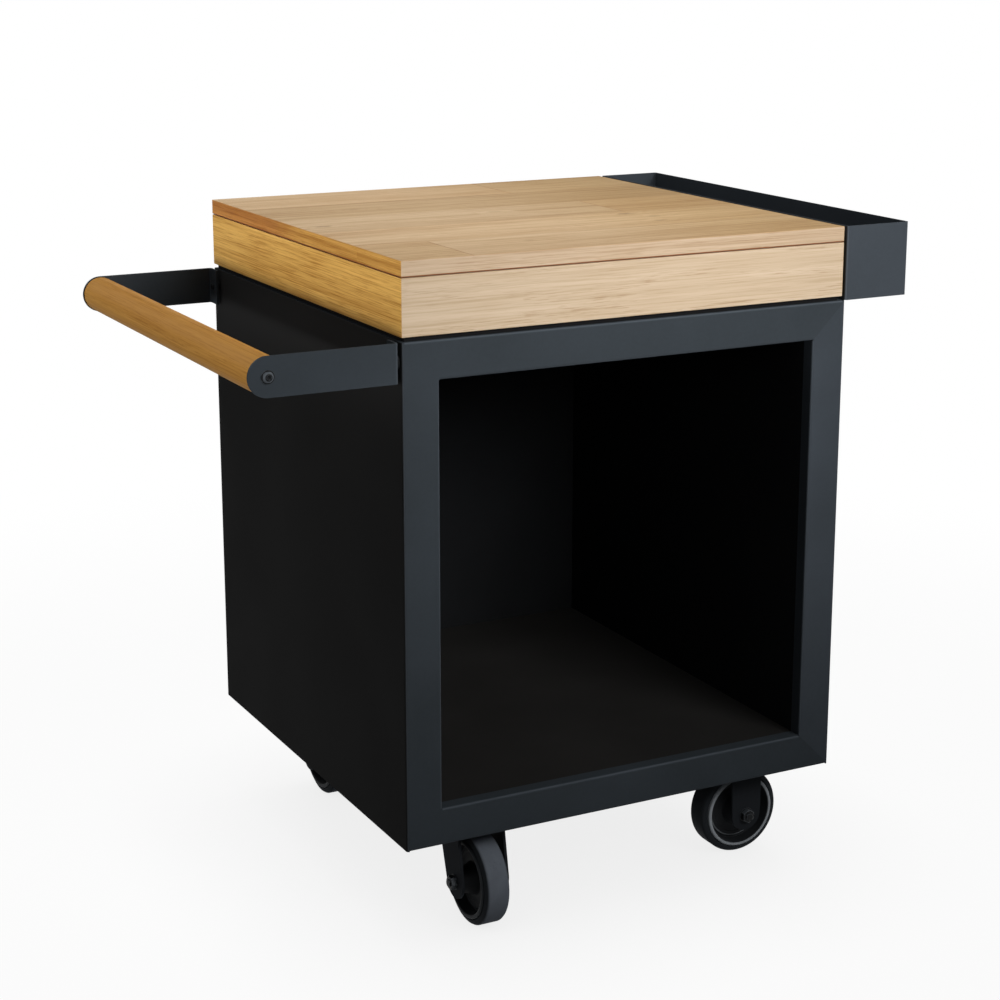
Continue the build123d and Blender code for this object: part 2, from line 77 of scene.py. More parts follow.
Colour = tuple[float, float, float, float]
Tones = tuple[Colour, Colour]
Span = tuple[float, float]
Point = tuple[float, float, float]
Socket = bpy.types.NodeSocket
Node = bpy.types.Node
Material = bpy.types.Material
MM = 0.001
QUARTER = math.pi / 2
WHITE: Colour = (1.0, 1.0, 1.0, 1.0)
FLOAT, VECTOR, COLOUR = "NodeSocketFloat", "NodeSocketVector", "NodeSocketColor"
RADIUS = "axle_radius"
WELD = 1e-6
SLIVER = 1e-7
CRISP = math.radians(32.0)
HEAD_COLUMNS = 72
WASHER_EASE = 0.25
WASHER_STEPS = 4


def srgb(red: float, green: float, blue: float) -> Colour:
    """Turn display values from 0 to 255 into a linear colour with full alpha."""
    shown = np.array([red, green, blue]) / 255.0
    return (*np.where(shown <= 0.04045, shown / 12.92, ((shown + 0.055) / 1.055) ** 2.4).tolist(), 1.0)


def tinted(colour: Colour, shade: float, warmth: float = 0.0) -> Colour:
    """Scale a linear colour by a shade; by its warmth red gains, and blue loses twice as much."""
    red, green, blue, alpha = colour
    return (red * shade * (1.0 + warmth), green * shade, blue * shade * (1.0 - 2.0 * warmth), alpha)


class NodeBench:
    """Short calls for laying out the nodes of one material or group."""

    MIX_FIRST, MIX_SECOND, MIX_RESULT = 6, 7, 2
    SINGLE_VALUES = ("LENGTH", "DOT_PRODUCT")

    def __init__(self, tree: bpy.types.NodeTree) -> None:
        """Start on an empty tree."""
        self.tree = tree
        self.tree.nodes.clear()

    def node(self, kind: str, entries: dict[int | str, object] | None = None, **settings: object) -> Node:
        """Add a node.

        Args:
            kind: the node's type.
            entries: a socket or a value for each input that is fed.
            settings: the node's own properties.

        Returns:
            The node.
        """
        made = self.tree.nodes.new(kind)
        for key, value in settings.items():
            setattr(made, key, value)
        for key, value in (entries or {}).items():
            self.feed(made.inputs[key], value)
        return made

    def feed(self, target: Socket, value: object) -> None:
        """Link an input to a socket, or set its own value.

        Args:
            target: the input.
            value: the socket or the value.
        """
        if isinstance(value, bpy.types.NodeSocket):
            self.tree.links.new(value, target)
        else:
            target.default_value = value

    def use(self, group: str, **entries: object) -> Node:
        """Place a node group and feed its inputs."""
        return self.node("ShaderNodeGroup", entries, node_tree=bpy.data.node_groups[group])

    def maths(self, operation: str, first: object, second: object = 0.0, clamp: bool = False) -> Socket:
        """Work out a number from two, held between 0 and 1 where it is clamped."""
        entries = {0: first, 1: second}
        return self.node("ShaderNodeMath", entries, operation=operation, use_clamp=clamp).outputs[0]

    def times(self, first: object, second: object) -> Socket:
        """Multiply two values."""
        return self.maths("MULTIPLY", first, second)

    def plus(self, *values: object) -> Socket:
        """Add values up from left to right."""
        return reduce(partial(self.maths, "ADD"), values)

    def vector(self, operation: str, first: object, second: object = (0.0, 0.0, 0.0)) -> Socket:
        """Work out a vector from two, or a number where the operation gives one."""
        made = self.node("ShaderNodeVectorMath", {0: first, 1: second}, operation=operation)
        return made.outputs["Value" if operation in self.SINGLE_VALUES else "Vector"]

    def parts(self, vector: Socket) -> tuple[Socket, ...]:
        """Split a vector into its three values."""
        return tuple(self.node("ShaderNodeSeparateXYZ", {0: vector}).outputs)

    def smooth(self, value: object, low: float, high: float, start: float = 0.0,
               end: float = 1.0) -> Socket:
        """Ease a value from start at low to end at high."""
        entries = dict(enumerate((value, low, high, start, end)))
        return self.node("ShaderNodeMapRange", entries, interpolation_type="SMOOTHSTEP").outputs[0]

    def ranged(self, value: object, start: float, end: float) -> Socket:
        """Map a value from 0..1 to start..end."""
        return self.node("ShaderNodeMapRange", dict(enumerate((value, 0.0, 1.0, start, end)))).outputs[0]

    def line(self, along: Socket, place: float, width: float) -> Socket:
        """Return 1 within a width of a place on an axis, fading to 0 at twice that width."""
        away = self.maths("ABSOLUTE", self.maths("SUBTRACT", along, place))
        return self.smooth(away, width, 2.0 * width, 1.0, 0.0)

    def blend(self, factor: object, first: object, second: object, mode: str = "MIX") -> Socket:
        """Mix two colours by the second one's share."""
        entries = {0: factor, self.MIX_FIRST: first, self.MIX_SECOND: second}
        return self.node("ShaderNodeMix", entries, data_type="RGBA",
                         blend_type=mode).outputs[self.MIX_RESULT]

    def noise(self, place: Socket, stretch: Point, detail: float = 2.0, rough: float = 0.5,
              outlet: int | str = 0) -> Socket:
        """Add noise with as many features per metre along each axis as its stretch says."""
        entries = {"Vector": self.vector("MULTIPLY", place, stretch), "Scale": 1.0, "Detail": detail,
                   "Roughness": rough}
        return self.node("ShaderNodeTexNoise", entries).outputs[outlet]

    def end(self, kind: str, factor: Socket, first: Node, second: Node) -> None:
        """Mix two shaders by the second one's share, and lead them to an output node."""
        mixed = self.node("ShaderNodeMixShader", {0: factor, 1: first.outputs[0], 2: second.outputs[0]})
        self.node(kind, {"Surface": mixed.outputs[0]})


class NodeGroup(NodeBench):
    """The nodes of one shader node group."""

    def __init__(self, name: str, inputs: dict[str, str], outputs: dict[str, str]) -> None:
        """Open a new group.

        Args:
            name: the group's name.
            inputs, outputs: socket type of each named input and output.
        """
        tree = bpy.data.node_groups.new(name, "ShaderNodeTree")
        for way, sockets in (("INPUT", inputs), ("OUTPUT", outputs)):
            for label, kind in sockets.items():
                tree.interface.new_socket(name=label, in_out=way, socket_type=kind)
        super().__init__(tree)
        self.given = self.node("NodeGroupInput").outputs
        self.results = self.node("NodeGroupOutput").inputs

    def give(self, label: str, value: Socket) -> None:
        """Link a socket to one of the group's outputs."""
        self.feed(self.results[label], value)


class Surface(NodeBench):
    """The nodes of one material, with the place and the normal that its patterns read."""

    def __init__(self, name: str) -> None:
        """Start a material.

        Args:
            name: the material's name.
        """
        self.material = bpy.data.materials.new(name)
        self.material.use_nodes = True
        super().__init__(self.material.node_tree)
        coords = self.node("ShaderNodeTexCoord").outputs
        self.spot, self.normal = coords["Object"], coords["Normal"]

    def bend(self) -> Socket:
        """Return the mask of the piece's bends, where finishes paint a highlight and wear."""
        return self.use("bend", Normal=self.normal, Vector=self.spot).outputs["Mask"]

    def close(self, colour: Socket, roughness: Socket, height: Socket, bump: Span, specular: float,
              metallic: float = 0.0) -> Material:
        """Feed the surface shader.

        Args:
            colour, roughness, height: what these are over the surface.
            bump: how strongly the height shows, and how far a full one stands in metres.
            specular: the shader's specular level.
            metallic: 1 for bare metal.

        Returns:
            The finished material.
        """
        strength, depth = bump
        raised = self.node("ShaderNodeBump", {"Strength": strength, "Distance": depth, "Height": height})
        shader = self.node("ShaderNodeBsdfPrincipled", {
            "Base Color": colour, "Roughness": roughness, "Metallic": metallic,
            "Specular IOR Level": specular, "Normal": raised.outputs["Normal"]})
        self.node("ShaderNodeOutputMaterial", {"Surface": shader.outputs[0]})
        return self.material


def make_timber_group() -> None:
    """Oiled open-pored wood: growth rings about a heart line along X, fibres and pores drawn along it.

    The ring count at a point is its distance from the heart line over the ring width, after the point has
    drifted a little. Each ring starts with a band of short open pores and darkens to its outer edge."""
    bench = NodeGroup(
        "timber",
        {"Vector": VECTOR, "Width": FLOAT, "Wander": FLOAT, "Lift": FLOAT, "Figure": FLOAT,
         "Pale": COLOUR, "Dark": COLOUR},
        {"Color": COLOUR, "Polish": FLOAT, "Height": FLOAT})
    place = bench.given["Vector"]
    drift = bench.vector("SUBTRACT", bench.noise(place, (1.5, 6.0, 6.0), outlet="Color"), (0.5, 0.5, 0.5))
    wander = bench.node("ShaderNodeVectorMath", {"Vector": drift, "Scale": bench.given["Wander"]},
                        operation="SCALE")
    moved = bench.vector("ADD", place, wander.outputs[0])
    distance = bench.vector("LENGTH", bench.vector("MULTIPLY", moved, (0.0, 1.0, 1.0)))
    jitter = bench.noise(place, (3.0, 60.0, 60.0))
    rings = bench.maths("DIVIDE", distance, bench.given["Width"])
    count = bench.plus(rings, bench.given["Lift"], jitter)
    share = bench.maths("FRACT", count)
    late = bench.times(bench.maths("POWER", share, 2.0), bench.smooth(share, 0.84, 1.0, 1.0, 0.0))
    early = bench.smooth(share, 0.0, 0.5, 1.0, 0.25)
    ring = bench.maths("FLOOR", count)
    year = bench.node("ShaderNodeTexWhiteNoise", {"W": ring}, noise_dimensions="1D").outputs["Value"]
    fibre = bench.noise(place, (2.4, 160.0, 160.0), detail=4.0, rough=0.65)
    hair = bench.noise(place, (11.0, 640.0, 640.0), detail=3.0, rough=0.6)
    broad = bench.noise(place, (1.3, 12.0, 12.0))
    tone = bench.plus(
        bench.times(late, 0.3),
        bench.ranged(year, -0.05, 0.09),
        bench.ranged(fibre, -0.75, 0.75),
        bench.smooth(hair, 0.47, 0.64, -0.12, 0.3),
        bench.ranged(broad, -0.55, 0.55))
    tone = bench.maths("ADD", bench.times(tone, bench.given["Figure"]), 0.32, clamp=True)
    colour = bench.blend(tone, bench.given["Pale"], bench.given["Dark"])
    pores = bench.noise(place, (30.0, 900.0, 900.0), rough=0.6)
    pores = bench.times(bench.smooth(pores, 0.52, 0.66), early)
    pore_tint = (0.62, 0.5, 0.38, 1.0)
    bench.give("Color", bench.blend(bench.times(pores, 0.52), colour, pore_tint, mode="MULTIPLY"))
    bench.give("Polish", bench.ranged(tone, 0.54, 0.68))
    height = bench.maths("SUBTRACT", bench.times(fibre, 0.5), bench.times(pores, 0.8))
    bench.give("Height", bench.plus(height, bench.times(late, 0.3)))


def make_knot_group() -> None:
    """One knot in a board's face: a dark core, and a lift that bends the rings round it.

    The lift falls off as the exponential of minus the squared distance from the core, longer along X."""
    bench = NodeGroup("knot", {"Vector": VECTOR, "Place": VECTOR, "Size": FLOAT, "Strength": FLOAT},
                      {"Lift": FLOAT, "Core": FLOAT})
    offset = bench.vector("SUBTRACT", bench.given["Vector"], bench.given["Place"])
    offset = bench.vector("MULTIPLY", offset, (0.5, 1.0, 0.0))
    distance = bench.maths("DIVIDE", bench.vector("LENGTH", offset), bench.given["Size"])
    fall = bench.maths("EXPONENT", bench.times(bench.times(distance, distance), -0.22))
    bench.give("Lift", bench.times(fall, bench.given["Strength"]))
    ragged = bench.noise(bench.given["Vector"], (120.0, 190.0, 60.0))
    edge = bench.plus(distance, bench.ranged(ragged, -0.55, 0.55))
    bench.give("Core", bench.smooth(edge, 0.25, 1.15, 1.0, 0.0))


def make_coat_group() -> None:
    """Baked powder: a fine even pebble, with faint broad changes where the coat lies thicker."""
    bench = NodeGroup("coat", {"Vector": VECTOR}, {"Tone": FLOAT, "Height": FLOAT})
    place = bench.given["Vector"]
    cloud = bench.ranged(bench.noise(place, (7.0, 7.0, 7.0), detail=3.0), -0.3, 1.0)
    speck = bench.ranged(bench.noise(place, (260.0, 260.0, 260.0), detail=1.0), -0.15, 0.15)
    bench.give("Tone", bench.maths("ADD", cloud, speck, clamp=True))
    bench.give("Height", bench.noise(place, (1250.0, 1250.0, 1250.0), rough=0.6))


def make_bend_group() -> None:
    """Where a sheet or an eased board turns: one less the largest part of its normal, made patchy by
    noise. Finishes paint a highlight and wear there.
    """
    bench = NodeGroup("bend", {"Normal": VECTOR, "Vector": VECTOR}, {"Mask": FLOAT})
    x, y, z = bench.parts(bench.vector("ABSOLUTE", bench.given["Normal"]))
    largest = bench.maths("MAXIMUM", bench.maths("MAXIMUM", x, y), z)
    turn = bench.smooth(bench.maths("SUBTRACT", 1.0, largest), 0.01, 0.2)
    # patchy strength of the highlight and wear painted along the bend
    uneven_wear_and_highlight = bench.noise(bench.given["Vector"], (30.0, 30.0, 30.0), detail=3.0)
    bench.give("Mask", bench.times(turn, bench.ranged(uneven_wear_and_highlight, 0.35, 1.0)))


def make_mould_group() -> None:
    """Moulded rubber or nylon: a dull fine grain, with cloudy flow marks and a few scuffs."""
    bench = NodeGroup("mould", {"Vector": VECTOR}, {"Cloud": FLOAT, "Scuff": FLOAT, "Height": FLOAT})
    place = bench.given["Vector"]
    bench.give("Cloud", bench.noise(place, (45.0, 45.0, 45.0), detail=3.0))
    scuff = bench.noise(place, (160.0, 160.0, 160.0), detail=4.0, rough=0.7)
    bench.give("Scuff", bench.smooth(scuff, 0.58, 0.8))
    bench.give("Height", bench.noise(place, (1800.0, 1800.0, 1800.0), detail=1.0))


@dataclass(frozen=True)
class PowderCoat:
    """Textured black coat on sheet steel, painted a little paler on its bends as a highlight, with some
    wear.

    A sheet may have painted shade: a darker coat on the face that points one way."""

    name: str
    deep: Colour
    thin: Colour
    wear_and_highlight: Colour
    roughness: Span = (0.62, 0.74)
    specular: float = 0.01
    pebble: Span = (0.12, 0.2 * MM)
    painted_shade: Tones | None = None
    painted_shade_way: Point = (0.0, -1.0, 0.0)
    painted_shade_from: Span = (0.5, 0.9)

    def material(self) -> Material:
        """Build the material.

        Returns:
            The finished material.
        """
        bench = Surface(self.name)
        coat = bench.use("coat", Vector=bench.spot).outputs
        colour = bench.blend(coat["Tone"], self.deep, self.thin)
        # paler tone on the bends: a painted highlight, with some wear
        colour = bench.blend(bench.bend(), colour, self.wear_and_highlight)
        # painted shade: a darker coat on the faces that point one way
        if self.painted_shade is not None:
            facing = bench.vector("DOT_PRODUCT", bench.normal, self.painted_shade_way)
            dark = bench.blend(coat["Tone"], *self.painted_shade)
            colour = bench.blend(bench.smooth(facing, *self.painted_shade_from), colour, dark)
        roughness = bench.ranged(coat["Tone"], *self.roughness)
        return bench.close(colour, roughness, coat["Height"], self.pebble, self.specular)


class Grain(Enum):
    """Which way a piece's fibres run, as a turn about Z from X."""

    ALONG_X = 0.0
    ALONG_Y = QUARTER


@dataclass(frozen=True)
class Knot:
    """A knot in the board, by its distance from the worktop's front left corner."""

    right: float
    back: float
    size: float
    strength: float
    dark: float


@dataclass(frozen=True)
class Stock:
    """Wood that planks are cut from: its pale and dark tone, and those of faces that differ, which hold a
    painted sheen on faces along Y and painted shade on faces along X.
    """

    tones: Tones
    grain: Grain = Grain.ALONG_X
    ring_width: float = 7.0 * MM
    figure: float = 1.0
    # tones of faces along X: their own end tone, partly painted shade
    ends: Tones | None = None
    # tones of faces along Y: a painted sheen
    edge: Tones | None = None
    tan: Colour = WHITE


@dataclass(frozen=True)
class Timber:
    """Oiled solid wood, cut from a tree whose heart line lies somewhere near the piece.

    The board's strips to the front and sides have heart lines and tones of their own: the front and back
    faces a painted sheen, the ends a saturated tone that is partly painted shade. Its right grows tan, and
    its ends redden to the back."""

    name: str
    stock: Stock
    heart: Point
    wander: float = 26.0 * MM
    arris: Colour = srgb(190, 150, 104)
    knots: tuple[tuple[Point, Knot], ...] = ()
    kerf: float | None = None
    butt: float | None = None
    specular: float = 0.06
    edge_heart: Point = (0.0, -0.24, 0.78)
    end_heart: Point = (-0.15, 0.0, 0.84)
    end_red: Colour = (0.78, 0.62, 0.6, 1.0)
    end_reddens: Span = (-0.03, 0.12)
    tan_grows: Span = (-0.02, 0.32)
    lit_and_shaded_face_turns: Span = (0.6, 0.8)
    # dark warm tone: painted shade in the kerf groove, and the joint colour at butts
    kerf_shade_and_joint_tone: Colour = srgb(128, 66, 34)
    kerf_width: float = 0.7 * MM
    butt_width: float = 0.4 * MM
    butt_dark: float = 0.75
    core_tint: Span = (0.55, 0.05)
    arris_worn: float = 0.5
    open_grain: Span = (0.18, 0.25 * MM)

    def cut(self, bench: Surface, heart: Point, turn: float, tones: Tones) -> Node:
        """Lay wood of a pale and a dark tone about a heart line that is turned about Z from X."""
        mapping = bench.node("ShaderNodeMapping", {"Vector": bench.spot, "Location": heart,
                                                   "Rotation": (0.0, 0.0, turn)}, vector_type="TEXTURE")
        return bench.use("timber", Vector=mapping.outputs[0], Width=self.stock.ring_width,
                         Wander=self.wander, Figure=self.stock.figure, Pale=tones[0], Dark=tones[1])

    def knotted(self, bench: Surface, wood: Node) -> Socket:
        """Bend the wood's rings round the knots, and darken their cores.

        Args:
            bench: the material's bench.
            wood: the wood's group node.

        Returns:
            The wood's colour.
        """
        colour = wood.outputs["Color"]
        lifts = []
        for place, knot in self.knots:
            mark = bench.use("knot", Vector=bench.spot, Place=place, Size=knot.size,
                             Strength=knot.strength).outputs
            lifts.append(mark["Lift"])
            core = bench.times(mark["Core"], knot.dark)
            colour = bench.blend(core, colour, tinted(self.stock.tones[1], *self.core_tint))
        if lifts:
            bench.feed(wood.inputs["Lift"], bench.plus(*lifts))
        return colour

    def material(self) -> Material:
        """Build the material.

        Returns:
            The finished material.
        """
        bench = Surface(self.name)
        stock, turn = self.stock, self.stock.grain.value
        wood = self.cut(bench, self.heart, turn, stock.tones)
        colour = self.knotted(bench, wood)
        x, y, z = bench.parts(bench.vector("ABSOLUTE", bench.normal))
        right, back, up = bench.parts(bench.spot)
        colour = bench.blend(bench.smooth(right, *self.tan_grows), colour, stock.tan, mode="MULTIPLY")
        # painted sheen: faces along Y take the edge tones
        if stock.edge is not None:
            strip = self.cut(bench, self.edge_heart, turn, stock.edge).outputs["Color"]
            colour = bench.blend(bench.smooth(y, *self.lit_and_shaded_face_turns), colour, strip)
        # faces along X take the end tones, partly painted shade, reddening to the back
        if stock.ends is not None:
            strip = self.cut(bench, self.end_heart, turn + QUARTER, stock.ends).outputs["Color"]
            red = bench.smooth(back, *self.end_reddens)
            strip = bench.blend(red, strip, self.end_red, mode="MULTIPLY")
            colour = bench.blend(bench.smooth(x, *self.lit_and_shaded_face_turns), colour, strip)
        # painted shade: a warm dark line along the kerf groove
        if self.kerf is not None:
            colour = bench.blend(bench.line(up, self.kerf, self.kerf_width), colour, self.kerf_shade_and_joint_tone)
        if self.butt is not None:
            seam = bench.times(bench.line(right, self.butt, self.butt_width), z)
            colour = bench.blend(bench.times(seam, self.butt_dark), colour, self.kerf_shade_and_joint_tone)
        colour = bench.blend(bench.times(bench.bend(), self.arris_worn), colour, self.arris)
        return bench.close(colour, wood.outputs["Polish"], wood.outputs["Height"], self.open_grain,
                           self.specular)


@dataclass(frozen=True)
class Moulded:
    """Rubber or nylon out of a mould, clouded and slightly scuffed.

    On a wheel it is paler beyond a radius, and on the crest of a raised ring: painted light on a lit
    tread, and painted highlights on a hub's rim and ring."""

    name: str
    deep: Colour
    light: Colour
    scuffed: Colour
    roughness: Span
    specular: float
    wear_and_highlight: Colour | None = None
    highlight_from: float = 0.0
    highlight_blur: float = 0.8 * MM
    highlight_share: Span = (0.7, 1.1)
    crest: float = 0.0
    crest_width: float = 0.7 * MM
    crest_share: float = 0.45
    scuff_share: float = 0.5
    skin: Span = (0.1, 0.15 * MM)

    def material(self) -> Material:
        """Build the material.

        Returns:
            The finished material.
        """
        bench = Surface(self.name)
        mould = bench.use("mould", Vector=bench.spot).outputs
        colour = bench.blend(mould["Cloud"], self.deep, self.light)
        # painted light and highlights by distance from the axle
        if self.wear_and_highlight is not None:
            reach = bench.node("ShaderNodeAttribute", attribute_name=RADIUS).outputs["Fac"]
            low, high = self.highlight_from - self.highlight_blur, self.highlight_from + self.highlight_blur
            ring = bench.times(bench.line(reach, self.crest, self.crest_width), self.crest_share)
            share = bench.maths("MAXIMUM", bench.smooth(reach, low, high), ring)
            share = bench.times(share, bench.ranged(mould["Cloud"], *self.highlight_share))
            colour = bench.blend(share, colour, self.wear_and_highlight)
        colour = bench.blend(bench.times(mould["Scuff"], self.scuff_share), colour, self.scuffed)
        roughness = bench.ranged(mould["Cloud"], *self.roughness)
        return bench.close(colour, roughness, mould["Height"], self.skin, self.specular)


@dataclass(frozen=True)
class PlatedSteel:
    """Plated or blackened fastener steel, with a patchy gloss and a painted highlight where its faces
    turn.
    """

    name: str
    dull: Colour
    bright: Colour
    glint_tone: Colour
    roughness: Span
    metallic: float
    specular: float
    skin: Span = (0.06, 0.1 * MM)

    def material(self) -> Material:
        """Build the material.

        Returns:
            The finished material.
        """
        bench = Surface(self.name)
        mould = bench.use("mould", Vector=bench.spot).outputs
        colour = bench.blend(mould["Cloud"], self.dull, self.bright)
        # painted highlight where the faces turn
        colour = bench.blend(bench.bend(), colour, self.glint_tone)
        roughness = bench.ranged(mould["Scuff"], *self.roughness)
        return bench.close(colour, roughness, mould["Height"], self.skin, self.specular, self.metallic)


Finish = PowderCoat | Timber | Moulded | PlatedSteel

BLACK_COAT = PowderCoat("black_powder_coat", srgb(53, 58, 62), srgb(64, 70, 76), srgb(82, 88, 95))
# Painted light: the planter's coat is a little lighter than the cabinet's, as the right side is brighter
# lit.
PLANTER_COAT_PAINTED_LIGHT = PowderCoat("planter_coat_painted_light", srgb(61, 66, 71), srgb(73, 79, 86), srgb(102, 109, 117))
# The lining's darker coat is painted shade inside the cabinet; the back panel gets it on its inside face,
# and the screws in the bracket gap get it too.
INNER_COAT_PAINTED_SHADE = PowderCoat("inner_powder_coat_painted_shade", srgb(26, 27, 28), srgb(34, 35, 37), srgb(50, 52, 54))
BACK_COAT_SHADED_INSIDE = replace(BLACK_COAT, name="back_panel_coat_shaded_inside", painted_shade=(INNER_COAT_PAINTED_SHADE.deep, INNER_COAT_PAINTED_SHADE.thin))
# Painted shade: the left panel's outer face gets a darker, neutral coat.
LEFT_COAT_SHADED_SIDE = replace(BLACK_COAT, name="left_panel_coat_shaded_side", painted_shade=(srgb(42, 42, 42), srgb(50, 50, 50)),
                    painted_shade_way=(-1.0, 0.0, 0.0))
# Painted light: the right panel's coat is a little lighter than the left's.
RIGHT_COAT_PAINTED_LIGHT = replace(BLACK_COAT, name="right_panel_coat_painted_light", deep=srgb(58, 63, 68), thin=srgb(70, 76, 83))
# Painted shade: the compartment floor's coat is darker than the outer coat, with a warm cast.
FLOOR_COAT_PAINTED_SHADE = PowderCoat("store_floor_coat_painted_shade", srgb(40, 39, 38), srgb(49, 48, 47), srgb(64, 64, 64))
CASTER_COAT = PowderCoat("caster_coat", srgb(34, 36, 39), srgb(43, 46, 50), srgb(70, 75, 82),
                         roughness=(0.62, 0.75), specular=0.03, pebble=(0.05, 0.2 * MM))
BLACK_BOLT = PlatedSteel("blackened_steel", srgb(14, 15, 16), srgb(26, 28, 30), srgb(104, 110, 116),
                         roughness=(0.36, 0.5), metallic=0.0, specular=0.08)
ZINC = PlatedSteel("zinc_plate", srgb(150, 152, 155), srgb(188, 190, 193), srgb(200, 202, 204),
                   roughness=(0.32, 0.48), metallic=1.0, specular=0.5)
PAD = Moulded("gap_strip_rubber", srgb(18, 18, 19), srgb(26, 26, 27), srgb(38, 38, 40),
              roughness=(0.75, 0.9), specular=0.05)
# Tyres and hubs come in lit and shaded copies: the swivel tyres' tread is painted paler, and the fixed
# hubs are painted lighter with a bright rim highlight.
TYRE_LIT_TREAD = Moulded("tyre_rubber_lit_tread", srgb(38, 41, 44), srgb(46, 49, 53), srgb(58, 62, 66),
               roughness=(0.7, 0.85), specular=0.06, wear_and_highlight=srgb(111, 117, 126), highlight_from=61.2 * MM)
TYRE_SHADED_TREAD = replace(TYRE_LIT_TREAD, name="fixed_tyre_rubber_shaded_tread", wear_and_highlight=None)
HUB_SHADED = Moulded("hub_nylon_shaded", srgb(21, 22, 24), srgb(29, 31, 33), srgb(46, 49, 52), roughness=(0.5, 0.62),
              specular=0.07, wear_and_highlight=srgb(46, 49, 52), highlight_from=48.4 * MM, crest=41.0 * MM)
HUB_LIT = replace(HUB_SHADED, name="fixed_hub_nylon_lit", deep=srgb(32, 34, 36), light=srgb(42, 44, 47),
                    wear_and_highlight=srgb(178, 184, 190))

BOARD = Stock((srgb(216, 187, 148), srgb(178, 142, 101)), ends=(srgb(216, 166, 86), srgb(160, 108, 43)),
              edge=(srgb(202, 178, 151), srgb(176, 148, 117)), tan=(0.9, 0.84, 0.68, 1.0))
FINE_BOARD = replace(BOARD, ring_width=5.5 * MM)
# The apron stocks are lit and shaded copies of one wood: a painted sheen for front and back, painted shade
# for the sides.
FRONT_STOCK_PAINTED_SHEEN = Stock((srgb(212, 191, 165), srgb(180, 154, 122)), ring_width=6.0 * MM, figure=0.65)
SIDE_STOCK_PAINTED_SHADE = Stock((srgb(230, 182, 97), srgb(160, 107, 40)), Grain.ALONG_Y, ring_width=6.0 * MM)
BAR = Stock((srgb(212, 158, 78), srgb(154, 100, 43)), Grain.ALONG_Y, ring_width=5.0 * MM, figure=0.55)
SAWN = Stock((srgb(205, 176, 136), srgb(168, 134, 94)))


def material_of(finish: Finish) -> Material:
    """Return a finish's material, built at its first use."""
    return bpy.data.materials.get(finish.name) or finish.material()


def linked(name: str, data: bpy.types.ID) -> bpy.types.Object:
    """Put an object in the scene.

    Args:
        name: its name.
        data: its mesh, lamp or camera.

    Returns:
        The object.
    """
    made = bpy.data.objects.new(name, data)
    bpy.context.scene.collection.objects.link(made)
    return made


@dataclass
class Shell:
    """A surface as arrays: corner points, and faces that name four of them."""

    points: np.ndarray
    faces: np.ndarray

    @classmethod
    def grid(cls, points: np.ndarray, close_rows: bool) -> "Shell":
        """Skin a grid of points, whose last column joins the first, with four-sided faces.

        Args:
            points: array of rows by columns by 3.
            close_rows: whether the last row joins the first as well.

        Returns:
            The surface.
        """
        rows, columns, _ = points.shape
        row = np.arange(rows if close_rows else rows - 1)
        a, b = np.meshgrid(row, np.arange(columns), indexing="ij")
        up = (a + 1) % rows * columns
        on = (b + 1) % columns
        faces = np.stack([a * columns + b, a * columns + on, up + on, up + b], axis=-1)
        return cls(points.reshape(-1, 3), faces.reshape(-1, 4))

    @classmethod
    def joined(cls, shells: list["Shell"]) -> "Shell":
        """Put several surfaces into one list of points and faces."""
        starts = np.cumsum([0] + [len(shell.points) for shell in shells[:-1]])
        return cls(np.concatenate([shell.points for shell in shells]),
                   np.concatenate([shell.faces + start for shell, start in zip(shells, starts)]))

    def placed(self, axis: Vector, centre: Vector) -> "Shell":
        """Turn a surface drawn about Z so that it lies along another axis, and move it to a centre."""
        turn = np.array(Vector((0.0, 0.0, 1.0)).rotation_difference(axis).to_matrix())
        return Shell(self.points @ turn.T + np.array(centre), self.faces)

    def build(self, name: str) -> bpy.types.Object:
        """Make a mesh object at the origin.

        Args:
            name: the object's name.

        Returns:
            The linked object, its poles closed, its faces pointing outwards and its sharp edges crisp.
        """
        mesh = bpy.data.meshes.new(name)
        mesh.from_pydata(self.points.tolist(), [], self.faces.tolist())
        work = bmesh.new()
        work.from_mesh(mesh)
        bmesh.ops.remove_doubles(work, verts=work.verts, dist=WELD)
        bmesh.ops.dissolve_degenerate(work, edges=work.edges, dist=SLIVER)
        bmesh.ops.recalc_face_normals(work, faces=work.faces)
        work.to_mesh(mesh)
        work.free()
        mesh.polygons.foreach_set("use_smooth", np.ones(len(mesh.polygons), dtype=bool))
        mesh.set_sharp_from_angle(angle=CRISP)
        return linked(name, mesh)


def mark_radius(piece: bpy.types.Object, axis: Vector, centre: Vector) -> None:
    """Store each point's distance from an axle on the mesh, by Pythagoras from its offset and height.

    Args:
        piece: the wheel's piece.
        axis: the axle's direction.
        centre: the wheel's middle.
    """
    points = np.empty(3 * len(piece.data.vertices))
    piece.data.vertices.foreach_get("co", points)
    offset = points.reshape(-1, 3) - np.array(centre)
    height = offset @ np.array(axis)
    radius = np.sqrt(np.maximum(np.sum(offset ** 2, axis=1) - height ** 2, 0.0))
    piece.data.attributes.new(RADIUS, "FLOAT", "POINT").data.foreach_set("value", radius)


